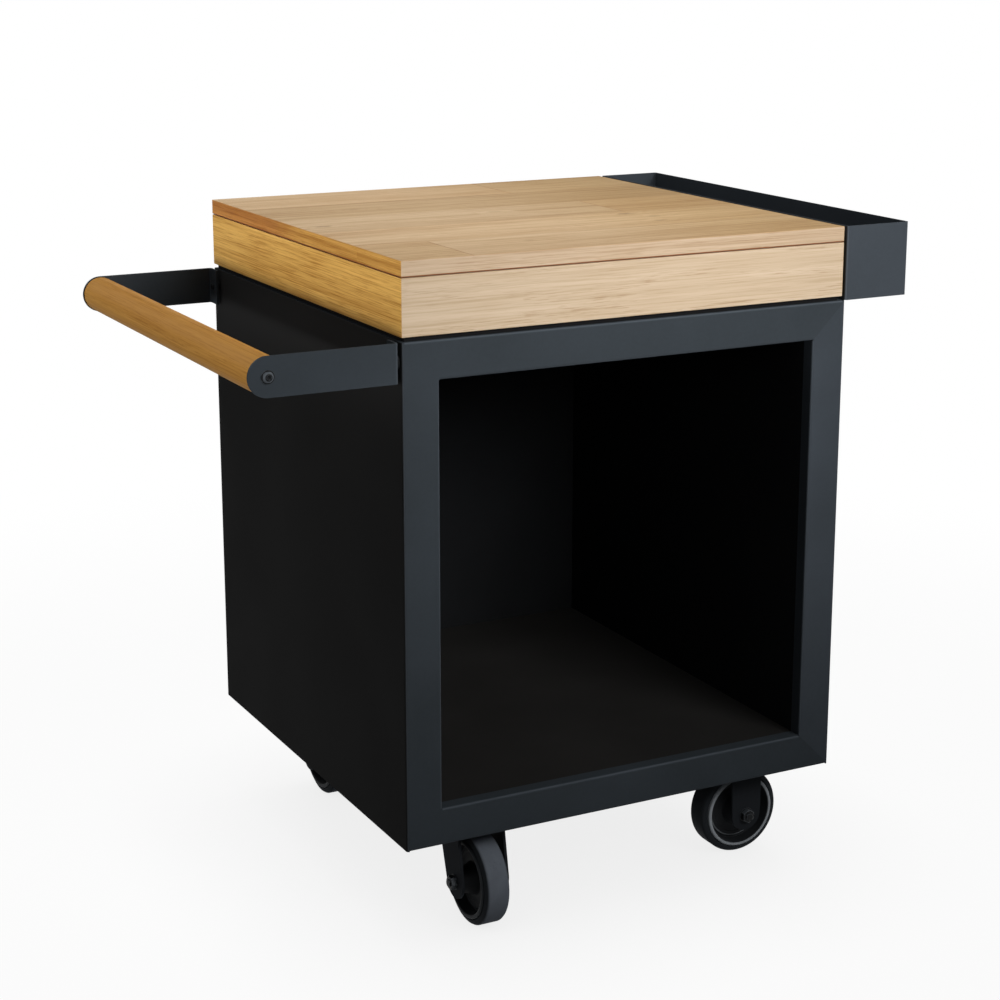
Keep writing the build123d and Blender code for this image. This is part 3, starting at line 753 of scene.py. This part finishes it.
def rounded(corners: np.ndarray, radii: np.ndarray, steps: int) -> np.ndarray:
    """Round the corners of a closed outline.

    Each corner is swapped for an arc that touches both of its sides: the arc's centre lies on the
    corner's bisector, and its points turn evenly from one touching point to the other.

    Args:
        corners: array of n by 2.
        radii: one radius for each corner.
        steps: points on each arc.

    Returns:
        Array of n * steps by 2.
    """
    before = np.roll(corners, 1, axis=0) - corners
    after = np.roll(corners, -1, axis=0) - corners
    before /= np.linalg.norm(before, axis=1, keepdims=True)
    after /= np.linalg.norm(after, axis=1, keepdims=True)
    half = np.arccos(np.clip(np.sum(before * after, axis=1), -1.0, 1.0)) / 2.0
    bisector = before + after
    bisector /= np.linalg.norm(bisector, axis=1, keepdims=True)
    centre = corners + bisector * (radii / np.sin(half))[:, None]
    first = corners + before * (radii / np.tan(half))[:, None] - centre
    last = corners + after * (radii / np.tan(half))[:, None] - centre
    turn = (np.pi - 2.0 * half)[:, None]
    share = np.linspace(0.0, 1.0, steps)[None, :]
    lead = np.sin((1.0 - share) * turn) / np.sin(turn)
    trail = np.sin(share * turn) / np.sin(turn)
    arcs = centre[:, None] + lead[..., None] * first[:, None] + trail[..., None] * last[:, None]
    return arcs.reshape(-1, 2)


def round_axis(columns: int) -> np.ndarray:
    """Even angles once round an axis."""
    return np.linspace(0.0, 2.0 * np.pi, columns, endpoint=False)


def carried(radius: np.ndarray, level: np.ndarray, columns: int, close_rows: bool) -> Shell:
    """Carry an outline once round Z: a point is its radius times an angle's cosine and sine, and a level.

    Args:
        radius: array of rows by columns, or by 1 where it is the same all round.
        level: each row's height.
        columns: steps round the axis.
        close_rows: whether the outline is closed.

    Returns:
        The surface.
    """
    angle = round_axis(columns)
    height = np.repeat(level[:, None], columns, axis=1)
    grid = np.stack([radius * np.cos(angle), radius * np.sin(angle), height], axis=-1)
    return Shell.grid(grid, close_rows)


def turned(profile: np.ndarray, columns: int) -> Shell:
    """Carry a closed outline of (radius, height) points, clear of the axis, once round Z."""
    return carried(profile[:, :1], profile[:, 1], columns, close_rows=True)


def six_sided(flats: float, angle: np.ndarray) -> np.ndarray:
    """Distance from the middle of a hexagon to its edge at each angle: half its flats over a cosine."""
    sixth = np.pi / 3.0
    return flats / 2.0 / np.cos((angle + sixth / 2.0) % sixth - sixth / 2.0)


def hex_head(flats: float, height: float) -> Shell:
    """Bolt head or nut that stands on the XY plane, its top corners turned off.

    Its radius at each angle and height is the hexagon's or a cone's, whichever is smaller.

    Args:
        flats: width across the flats.
        height: height of the head.

    Returns:
        The closed surface.
    """
    top_face = 0.96 * flats / 2.0
    slope = math.tan(math.radians(60.0))
    level = np.array([0.0, 0.0, 0.12, 0.55, 0.72, 0.84, 0.93, 1.0, 1.0]) * height
    reach = np.ones(len(level))
    reach[[0, -1]] = 0.0
    cone = top_face + (height - level) * slope
    edge = np.minimum(six_sided(flats, round_axis(HEAD_COLUMNS))[None, :], cone[:, None])
    return carried(reach[:, None] * edge, level, HEAD_COLUMNS, close_rows=False)


def socket_head(diameter: float, height: float, flats: float, depth: float) -> Shell:
    """Button head that stands on the XY plane, with a six-sided socket in its crown.

    The dome's radius falls as the square root of one less its squared height; inside the crown the radius
    is the socket's hexagon.

    Args:
        diameter: width of the head.
        height: height of the head.
        flats: the socket's width across its flats.
        depth: depth of the socket.

    Returns:
        The closed surface.
    """
    columns, dome_rows, dome_share = 96, 12, 0.82
    rim_widths, rim_depths = (1.08, 1.0, 1.0, 0.0), (0.0, 0.08, 1.0, 1.2)
    climb = np.linspace(0.0, 1.0, dome_rows)
    dome = diameter / 2.0 * np.sqrt(1.0 - (dome_share * climb) ** 2)
    hexagon = six_sided(flats, round_axis(columns))
    outside = np.concatenate([[0.0], dome])[:, None] * np.ones((1, columns))
    inside = np.array(rim_widths)[:, None] * hexagon
    level = np.concatenate([[0.0], climb * height, height - np.array(rim_depths) * depth])
    return carried(np.concatenate([outside, inside]), level, columns, close_rows=False)


def washer(inner: float, outer: float, height: float) -> Shell:
    """Flat ring that stands on the XY plane, its edges slightly rounded."""
    corners = np.array([[inner / 2, 0.0], [outer / 2, 0.0], [outer / 2, height], [inner / 2, height]])
    return turned(rounded(corners, np.full(4, WASHER_EASE * height), WASHER_STEPS), HEAD_COLUMNS)


def middle_of(node: str) -> Vector:
    """Return the middle of a CAD node's box."""
    low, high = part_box(node)
    return (low + high) / 2


def dress(frame: dict, finish: Finish, *nodes: str) -> None:
    """Give CAD nodes a finish.

    Args:
        frame: the loaded frame.
        finish: the finish.
        nodes: the nodes' names.
    """
    for name in nodes:
        data = frame["nodes"][name].data
        data.materials.clear()
        data.materials.append(material_of(finish))
        LOG.info("dressed %s in %s", name, finish.name)


def seat(piece: bpy.types.Object, finish: Finish, body: str, node: str) -> None:
    """Finish a new piece and put it in the place of a CAD node.

    Args:
        piece: the new object.
        finish: its finish.
        body: the CAD body that carries it.
        node: the node that it stands for.
    """
    piece.data.materials.append(material_of(finish))
    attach(piece, body)
    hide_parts(node)
    LOG.info("built %s on %s", piece.name, body)


@dataclass
class Cabinet:
    """Folded steel box, its lining and the channels and bolts under it."""

    coats: tuple[tuple[Finish, tuple[str, ...]], ...] = (
        (BLACK_COAT, ("top_deck", "base_pan", "front_caster_channel", "rear_caster_channel")),
        (INNER_COAT_PAINTED_SHADE, ("inner_left_wall", "inner_right_wall", "inner_ceiling")),
        (LEFT_COAT_SHADED_SIDE, ("left_side_panel",)),
        (RIGHT_COAT_PAINTED_LIGHT, ("right_side_panel",)),
        (BACK_COAT_SHADED_INSIDE, ("back_panel",)),
        (FLOOR_COAT_PAINTED_SHADE, ("inner_floor",)),
        (ZINC, ("caster_bolts", "caster_nuts")),
    )

    def build(self, frame: dict) -> None:
        """Dress the sheets and the bolts."""
        for finish, nodes in self.coats:
            dress(frame, finish, *nodes)


class Butt(Enum):
    """Which end of a stave meets another one."""

    NONE = "none"
    LEFT = "left"
    RIGHT = "right"


@dataclass(frozen=True)
class Plank:
    """One wooden node: how it was cut, and how light it is.

    The heart line is given from the middle of the plank's top, across the plank and up."""

    node: str
    across: float
    up: float
    stock: Stock = BOARD
    shade: float = 1.0
    warmth: float = 0.0
    knots: tuple[Knot, ...] = ()
    butt: Butt = Butt.NONE

    def timber(self) -> Timber:
        """Work out the plank's finish.

        Returns:
            The finish, with its heart line and knots placed in the frame.
        """
        low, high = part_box(self.node)
        middle = middle_of(self.node)
        heart = (middle.x, middle.y + self.across, high.z + self.up)
        if self.stock.grain is Grain.ALONG_Y:
            heart = (middle.x + self.across, middle.y, high.z + self.up)
        corner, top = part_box("apron_front")
        knots = tuple(((corner.x + knot.right, corner.y + knot.back, high.z), knot)
                      for knot in self.knots)
        pale, dark = (tinted(tone, self.shade, self.warmth) for tone in self.stock.tones)
        kerf = (top.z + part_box("stave_row_2")[0].z) / 2
        butt = {Butt.NONE: None, Butt.LEFT: low.x, Butt.RIGHT: high.x}[self.butt]
        stock = replace(self.stock, tones=(pale, dark))
        return Timber("wood_" + self.node, stock, heart, knots=knots, kerf=kerf, butt=butt)


@dataclass
class Worktop:
    """Board of staves on a mitred apron, with its hidden carriers and the pads under it."""

    planks: tuple[Plank, ...] = (
        Plank("stave_front_left", -0.05, -0.10, FINE_BOARD, shade=0.86, warmth=0.05, butt=Butt.RIGHT),
        Plank("stave_front_right", 0.12, -0.12, butt=Butt.LEFT,
              knots=(Knot(0.215, 0.08, 5 * MM, 1.2, 0.25),)),
        Plank("stave_row_2", -0.03, -0.16, shade=1.05,
              knots=(Knot(0.452, 0.243, 8 * MM, 3.2, 0.6), Knot(0.475, 0.205, 6 * MM, 2.2, 0.45),
                     Knot(0.462, 0.165, 6 * MM, 1.6, 0.4))),
        Plank("stave_middle_left", 0.05, -0.13, shade=0.95, butt=Butt.RIGHT,
              knots=(Knot(0.033, 0.315, 8 * MM, 2.6, 0.5), Knot(0.30, 0.345, 6 * MM, 1.5, 0.25))),
        Plank("stave_middle_right", -0.14, -0.08, shade=0.93, warmth=0.03, butt=Butt.LEFT),
        Plank("stave_row_4", 0.02, -0.11, shade=0.79, warmth=0.045,
              knots=(Knot(0.14, 0.455, 7 * MM, 2.0, 0.3),)),
        Plank("stave_back_left", 0.16, -0.10, shade=1.06, butt=Butt.RIGHT),
        Plank("stave_back_right", -0.06, -0.12, shade=0.92, warmth=0.02, butt=Butt.LEFT),
        Plank("apron_front", -0.16, -0.05, FRONT_STOCK_PAINTED_SHEEN),
        Plank("apron_back", 0.16, -0.05, FRONT_STOCK_PAINTED_SHEEN),
        Plank("apron_left", 0.15, -0.02, SIDE_STOCK_PAINTED_SHADE),
        Plank("apron_right", -0.15, -0.02, SIDE_STOCK_PAINTED_SHADE),
    )
    carriers: tuple[str, ...] = ("board_battens", "corner_blocks")
    carrier_heart: Point = (0.05, 0.2, 0.7)

    def build(self, frame: dict) -> None:
        """Dress each stave and apron in its own cut of wood, and the pieces below them.

        Args:
            frame: the loaded frame.
        """
        for plank in self.planks:
            dress(frame, plank.timber(), plank.node)
        dress(frame, Timber("plain_sawn_wood", SAWN, self.carrier_heart), *self.carriers)
        dress(frame, PAD, "worktop_pads")
        dress(frame, ZINC, "worktop_screws")


@dataclass
class PushHandle:
    """Turned bar between two flat brackets, with socket screws in its ends."""

    bar_heart: Point = (0.11, 0.0, -0.05)
    bar_wander: float = 14.0 * MM
    bar_arris: Colour = srgb(190, 142, 86)
    bar_specular: float = 0.02
    head_diameter: float = 14.0 * MM
    head_height: float = 3.5 * MM
    socket: float = 5.0 * MM
    socket_depth: float = 2.4 * MM
    washer_outer: float = 17.0 * MM
    washer_inner: float = 8.4 * MM
    washer_height: float = 0.9 * MM

    def screw_heads(self) -> bpy.types.Object:
        """Build the domed head and washer outside each bracket.

        Returns:
            The heads and washers as one object.
        """
        middle = middle_of("handle_bar")
        front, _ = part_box("handle_bracket_front")
        _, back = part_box("handle_bracket_back")
        ring = washer(self.washer_inner, self.washer_outer, self.washer_height)
        head = socket_head(self.head_diameter, self.head_height, self.socket, self.socket_depth)
        shells = []
        for y, side in ((front.y, -1.0), (back.y, 1.0)):
            axis = Vector((0.0, side, 0.0))
            face = Vector((middle.x, y, middle.z))
            shells += [ring.placed(axis, face), head.placed(axis, face + axis * self.washer_height)]
        return Shell.joined(shells).build("bar_screw_heads")

    def build(self, frame: dict) -> None:
        """Dress the bar and brackets and add the screw heads.

        Args:
            frame: the loaded frame.
        """
        heart = tuple(middle_of("handle_bar") + Vector(self.bar_heart))
        dress(frame, Timber("wood_handle_bar", BAR, heart, wander=self.bar_wander, arris=self.bar_arris,
                            specular=self.bar_specular), "handle_bar")
        dress(frame, BLACK_COAT, "handle_bracket_front", "handle_bracket_back")
        dress(frame, ZINC, "bar_inserts")
        # darker coat as painted shade on the screws in the gap behind the bracket
        dress(frame, INNER_COAT_PAINTED_SHADE, "bracket_screws")
        seat(self.screw_heads(), BLACK_BOLT, "cabinet", "bar_screws")


@dataclass
class Planter:
    """Folded trough on the right, and the screws of its tongue."""

    trough: str = "planter_trough"
    screws: str = "planter_screws"

    def build(self, frame: dict) -> None:
        """Dress the trough and its screws."""
        dress(frame, PLANTER_COAT_PAINTED_LIGHT, self.trough)
        dress(frame, BLACK_BOLT, self.screws)


class Corner(Enum):
    """The four casters."""

    LEFT_FRONT = "left_front"
    LEFT_REAR = "left_rear"
    RIGHT_FRONT = "right_front"
    RIGHT_REAR = "right_rear"

    @property
    def swivels(self) -> bool:
        """Whether this caster turns about an upright pin."""
        return self in (Corner.LEFT_FRONT, Corner.LEFT_REAR)

    @property
    def axle(self) -> Vector:
        """The way that its axle points."""
        return Vector((1.0, 0.0, 0.0)) if self.swivels else Vector((0.0, 1.0, 0.0))


@dataclass
class Casters:
    """Two swivel and two fixed casters: forks, hubs, tyres and axles.

    Outlines are (radius, height, rounding) corners in millimetres, a wheel's above its middle plane."""

    tyre_corners: tuple[Point, ...] = (
        (53.1, 16.4, 0.6), (54.8, 18.5, 1.2), (60.6, 15.9, 2.0), (62.3, 13.2, 1.4))
    tyre_crown: float = 62.5
    tread_from: float = 61.9
    tyre_steps: int = 7
    hub_corners: tuple[Point, ...] = (
        (10.1, 30.5, 0.6), (14.4, 30.5, 1.0), (17.8, 20.4, 3.0), (22.4, 7.0, 3.0), (34.4, 4.6, 2.0),
        (36.5, 6.5, 0.6), (41.5, 6.5, 0.8), (43.5, 4.6, 1.0), (45.4, 4.9, 1.6), (47.5, 20.4, 2.2),
        (52.9, 20.4, 2.2))
    hub_steps: int = 5
    columns: int = 144
    leg_reach: float = 35.0 * MM
    flats: float = 17.0 * MM
    head_height: float = 6.4 * MM
    nut_height: float = 8.0 * MM
    shank: float = 10.0 * MM
    washer_outer: float = 21.0 * MM
    washer_height: float = 1.0 * MM
    thread_corners: tuple[Point, ...] = (
        (0.4, 0.0, 0.05), (5.0, 0.0, 0.1), (5.0, 2.0, 0.5), (0.4, 2.0, 0.1))
    thread_steps: int = 4
    thread_columns: int = 48

    @staticmethod
    def mirrored(corners: tuple[Point, ...], steps: int) -> np.ndarray:
        """Mirror half a wheel's outline in its middle plane, and round its corners in that many steps."""
        whole = np.concatenate([corners, np.array(corners[::-1]) * (1.0, -1.0, 1.0)])
        return rounded(whole[:, :2], whole[:, 2], steps)

    def tyre_outline(self) -> np.ndarray:
        """Crown the tyre's tread: highest in the middle, it falls with the square of the distance.

        Returns:
            The tyre's closed outline in millimetres.
        """
        outline = self.mirrored(self.tyre_corners, self.tyre_steps)
        edge, width, _ = self.tyre_corners[-1]
        share = np.clip(np.abs(outline[:, 1]) / width, 0.0, 1.0)
        rise = (self.tyre_crown - edge) * (1.0 - share ** 2)
        outline[:, 0] += np.where(outline[:, 0] > self.tread_from, rise, 0.0)
        return outline

    def wheel_piece(self, corner: Corner, label: str, outline: np.ndarray, finish: Finish,
                    part: str) -> None:
        """Turn a piece of one wheel and put it in the place of its CAD node.

        Args:
            corner: which caster.
            label: the piece's name after the caster's.
            outline: its closed outline in millimetres.
            finish: its finish.
            part: the node's name after the caster's.
        """
        name = corner.value
        centre = middle_of(f"{name}_hub")
        piece = turned(outline * MM, self.columns).placed(corner.axle, centre).build(f"{name}_{label}")
        mark_radius(piece, corner.axle, centre)
        seat(piece, finish, f"{name}_wheel", f"{name}_{part}")

    def axle_set(self, corner: Corner) -> Shell:
        """Build the bolt, washers and nut of one caster, outside the legs of its fork.

        Args:
            corner: which caster.

        Returns:
            The surfaces, placed in the frame.
        """
        centre = middle_of(f"{corner.value}_hub")
        axis = corner.axle
        low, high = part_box(f"{corner.value}_fork")
        side = 0 if corner.swivels else 1
        leg = min(self.leg_reach, high[side] - centre[side], centre[side] - low[side])
        ring = washer(self.shank, self.washer_outer, self.washer_height)
        shells = []
        for way, height in ((1.0, self.head_height), (-1.0, self.nut_height)):
            face = centre + axis * (way * leg)
            lift = axis * (way * self.washer_height)
            head = hex_head(self.flats, height - self.washer_height)
            shells += [ring.placed(axis * way, face), head.placed(axis * way, face + lift)]
        thread = np.array(self.thread_corners)
        thread = rounded(thread[:, :2], thread[:, 2], self.thread_steps) * MM
        end = centre - axis * (leg + self.nut_height)
        shells.append(turned(thread, self.thread_columns).placed(-axis, end))
        return Shell.joined(shells)

    def build(self, frame: dict) -> None:
        """Dress the forks, and put finer hubs, tyres and axles in the place of the plain ones.

        Args:
            frame: the loaded frame.
        """
        fixed_axles = []
        for corner in Corner:
            name = corner.value
            # swivel wheels get a painted-light tread and a shaded hub; fixed wheels a shaded tread and a
            # hub painted lit
            tyre, hub = (TYRE_LIT_TREAD, HUB_SHADED) if corner.swivels else (TYRE_SHADED_TREAD, HUB_LIT)
            hub_outline = self.mirrored(self.hub_corners, self.hub_steps)
            dress(frame, CASTER_COAT, f"{name}_fork")
            self.wheel_piece(corner, "tread", self.tyre_outline(), tyre, "tyre")
            self.wheel_piece(corner, "wheel_centre", hub_outline, hub, "hub")
            axle = self.axle_set(corner)
            if corner.swivels:
                dress(frame, CASTER_COAT, f"{name}_plate")
                dress(frame, ZINC, f"{name}_kingpin", f"{name}_ball_ring")
                bolt = axle.build(f"{name}_axle_bolt")
                seat(bolt, BLACK_BOLT, f"{name}_swivel", f"{name}_axle")
            else:
                fixed_axles.append(axle)
        bolts = Shell.joined(fixed_axles).build("right_axle_bolts")
        seat(bolts, BLACK_BOLT, "cabinet", "right_axles")


@dataclass(frozen=True)
class Softbox:
    """A flat soft lamp with a grid that narrows its light, aimed at a point."""

    name: str
    place: Point
    aim: Point
    width: float
    height: float
    power: float
    spread: float

    def build(self) -> None:
        """Add the lamp."""
        lamp = bpy.data.lights.new(self.name, "AREA")
        lamp.shape = "RECTANGLE"
        lamp.size = self.width
        lamp.size_y = self.height
        lamp.energy = self.power
        lamp.spread = math.radians(self.spread)
        made = linked(self.name, lamp)
        made.location = self.place
        direction = Vector(self.aim) - Vector(self.place)
        made.rotation_euler = direction.to_track_quat("-Z", "Y").to_euler()


@dataclass
class Studio:
    """Camera, soft lamps, pale floor and white surround."""

    camera_place: Point = (-1.3364, -2.6262, 1.3045)
    camera_yaw: float = math.radians(27.39)
    camera_pitch: float = math.radians(13.832)
    lens: float = 77.5
    sensor: float = 36.0
    shift: float = -0.05
    floor_half: float = 14.0
    floor_tone: Colour = (0.25, 0.25, 0.25, 1.0)
    floor_shown: Colour = (0.9, 0.9, 0.9, 1.0)
    floor_white: float = 0.95
    floor_fade: Span = (0.9, 2.2)
    shadow_reach: float = 0.3
    shadow_tone: float = 0.84
    shadow_samples: int = 8
    fill: float = 0.12
    softboxes: tuple[Softbox, ...] = (
        Softbox("key_softbox", (0.5, -1.85, 1.5), (0.12, -0.33, 0.94), 1.3, 0.8, 6.0, 57.0),
        Softbox("left_strip", (-1.4, -0.18, 0.75), (-0.28, -0.18, 0.95), 1.4, 0.12, 1.0, 26.0),
        Softbox("top_softbox", (-0.15, 0.4, 2.1), (-0.05, 0.1, 0.9), 1.0, 1.0, 2.4, 80.0),
        Softbox("back_softbox", (0.45, 2.2, 0.6), (0.1, 0.3, 0.5), 1.0, 0.6, 6.0, 100.0),
    )

    @staticmethod
    def seen(bench: NodeBench) -> Socket:
        """Return 1 for rays from the camera and for mirrored and transmitted ones."""
        path = bench.node("ShaderNodeLightPath").outputs
        return bench.maths("ADD", bench.plus(path["Is Camera Ray"], path["Is Glossy Ray"]),
                           path["Is Transmission Ray"], clamp=True)

    def surround(self) -> None:
        """White where it is seen, and an even soft fill where it lights."""
        world = bpy.data.worlds.new("surround")
        bpy.context.scene.world = world
        world.use_nodes = True
        bench = NodeBench(world.node_tree)
        soft = bench.node("ShaderNodeBackground", {"Color": WHITE, "Strength": self.fill})
        white = bench.node("ShaderNodeBackground", {"Color": WHITE})
        bench.end("ShaderNodeOutputWorld", self.seen(bench), soft, white)

    def floor(self) -> None:
        """Pale floor with a soft shadow painted in from occlusion, besides a faint lit one, that turns
        white away from the table.
        """
        corners = np.array([(-1, -1, 0), (1, -1, 0), (-1, 1, 0), (1, 1, 0)]) * self.floor_half
        made = Shell(corners, np.array([[0, 1, 3, 2]])).build("floor")
        bench = Surface("pale_floor")
        seen = self.seen(bench)
        tone = bench.blend(seen, self.floor_tone, self.floor_shown)
        matt = bench.node("ShaderNodeBsdfDiffuse", {"Color": tone})
        # painted shadow: the white glow dims where the floor is occluded
        shade = bench.node("ShaderNodeAmbientOcclusion", {"Distance": self.shadow_reach},
                           samples=self.shadow_samples)
        glow = bench.ranged(shade.outputs["AO"], self.shadow_tone, 1.0)
        white = bench.node("ShaderNodeEmission", {"Strength": glow})
        away = bench.vector("LENGTH", bench.spot)
        share = bench.smooth(away, *self.floor_fade, self.floor_white, 1.0)
        bench.end("ShaderNodeOutputMaterial", bench.times(seen, share), matt, white)
        made.data.materials.append(bench.material)

    def camera(self) -> None:
        """Camera at the photograph's viewing angle."""
        data = bpy.data.cameras.new("camera")
        data.lens = self.lens
        data.sensor_width = self.sensor
        data.shift_y = self.shift
        made = linked("camera", data)
        made.location = self.camera_place
        made.rotation_euler = Euler((QUARTER - self.camera_pitch, 0.0, -self.camera_yaw))
        bpy.context.scene.camera = made

    def build(self) -> None:
        """Set up the whole studio."""
        bpy.context.scene.view_settings.view_transform = "Standard"
        self.surround()
        self.floor()
        self.camera()
        for softbox in self.softboxes:
            softbox.build()


def main() -> None:
    """Load the frame and build the table on it, one sub-assembly after the other."""
    logging.basicConfig(level=logging.INFO, format="%(message)s")
    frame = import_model()
    for make_group in (make_timber_group, make_knot_group, make_coat_group, make_bend_group,
                       make_mould_group):
        make_group()
    Studio().build()
    for assembly in (Cabinet(), Worktop(), PushHandle(), Planter(), Casters()):
        assembly.build(frame)


if __name__ == "__main__":
    main()
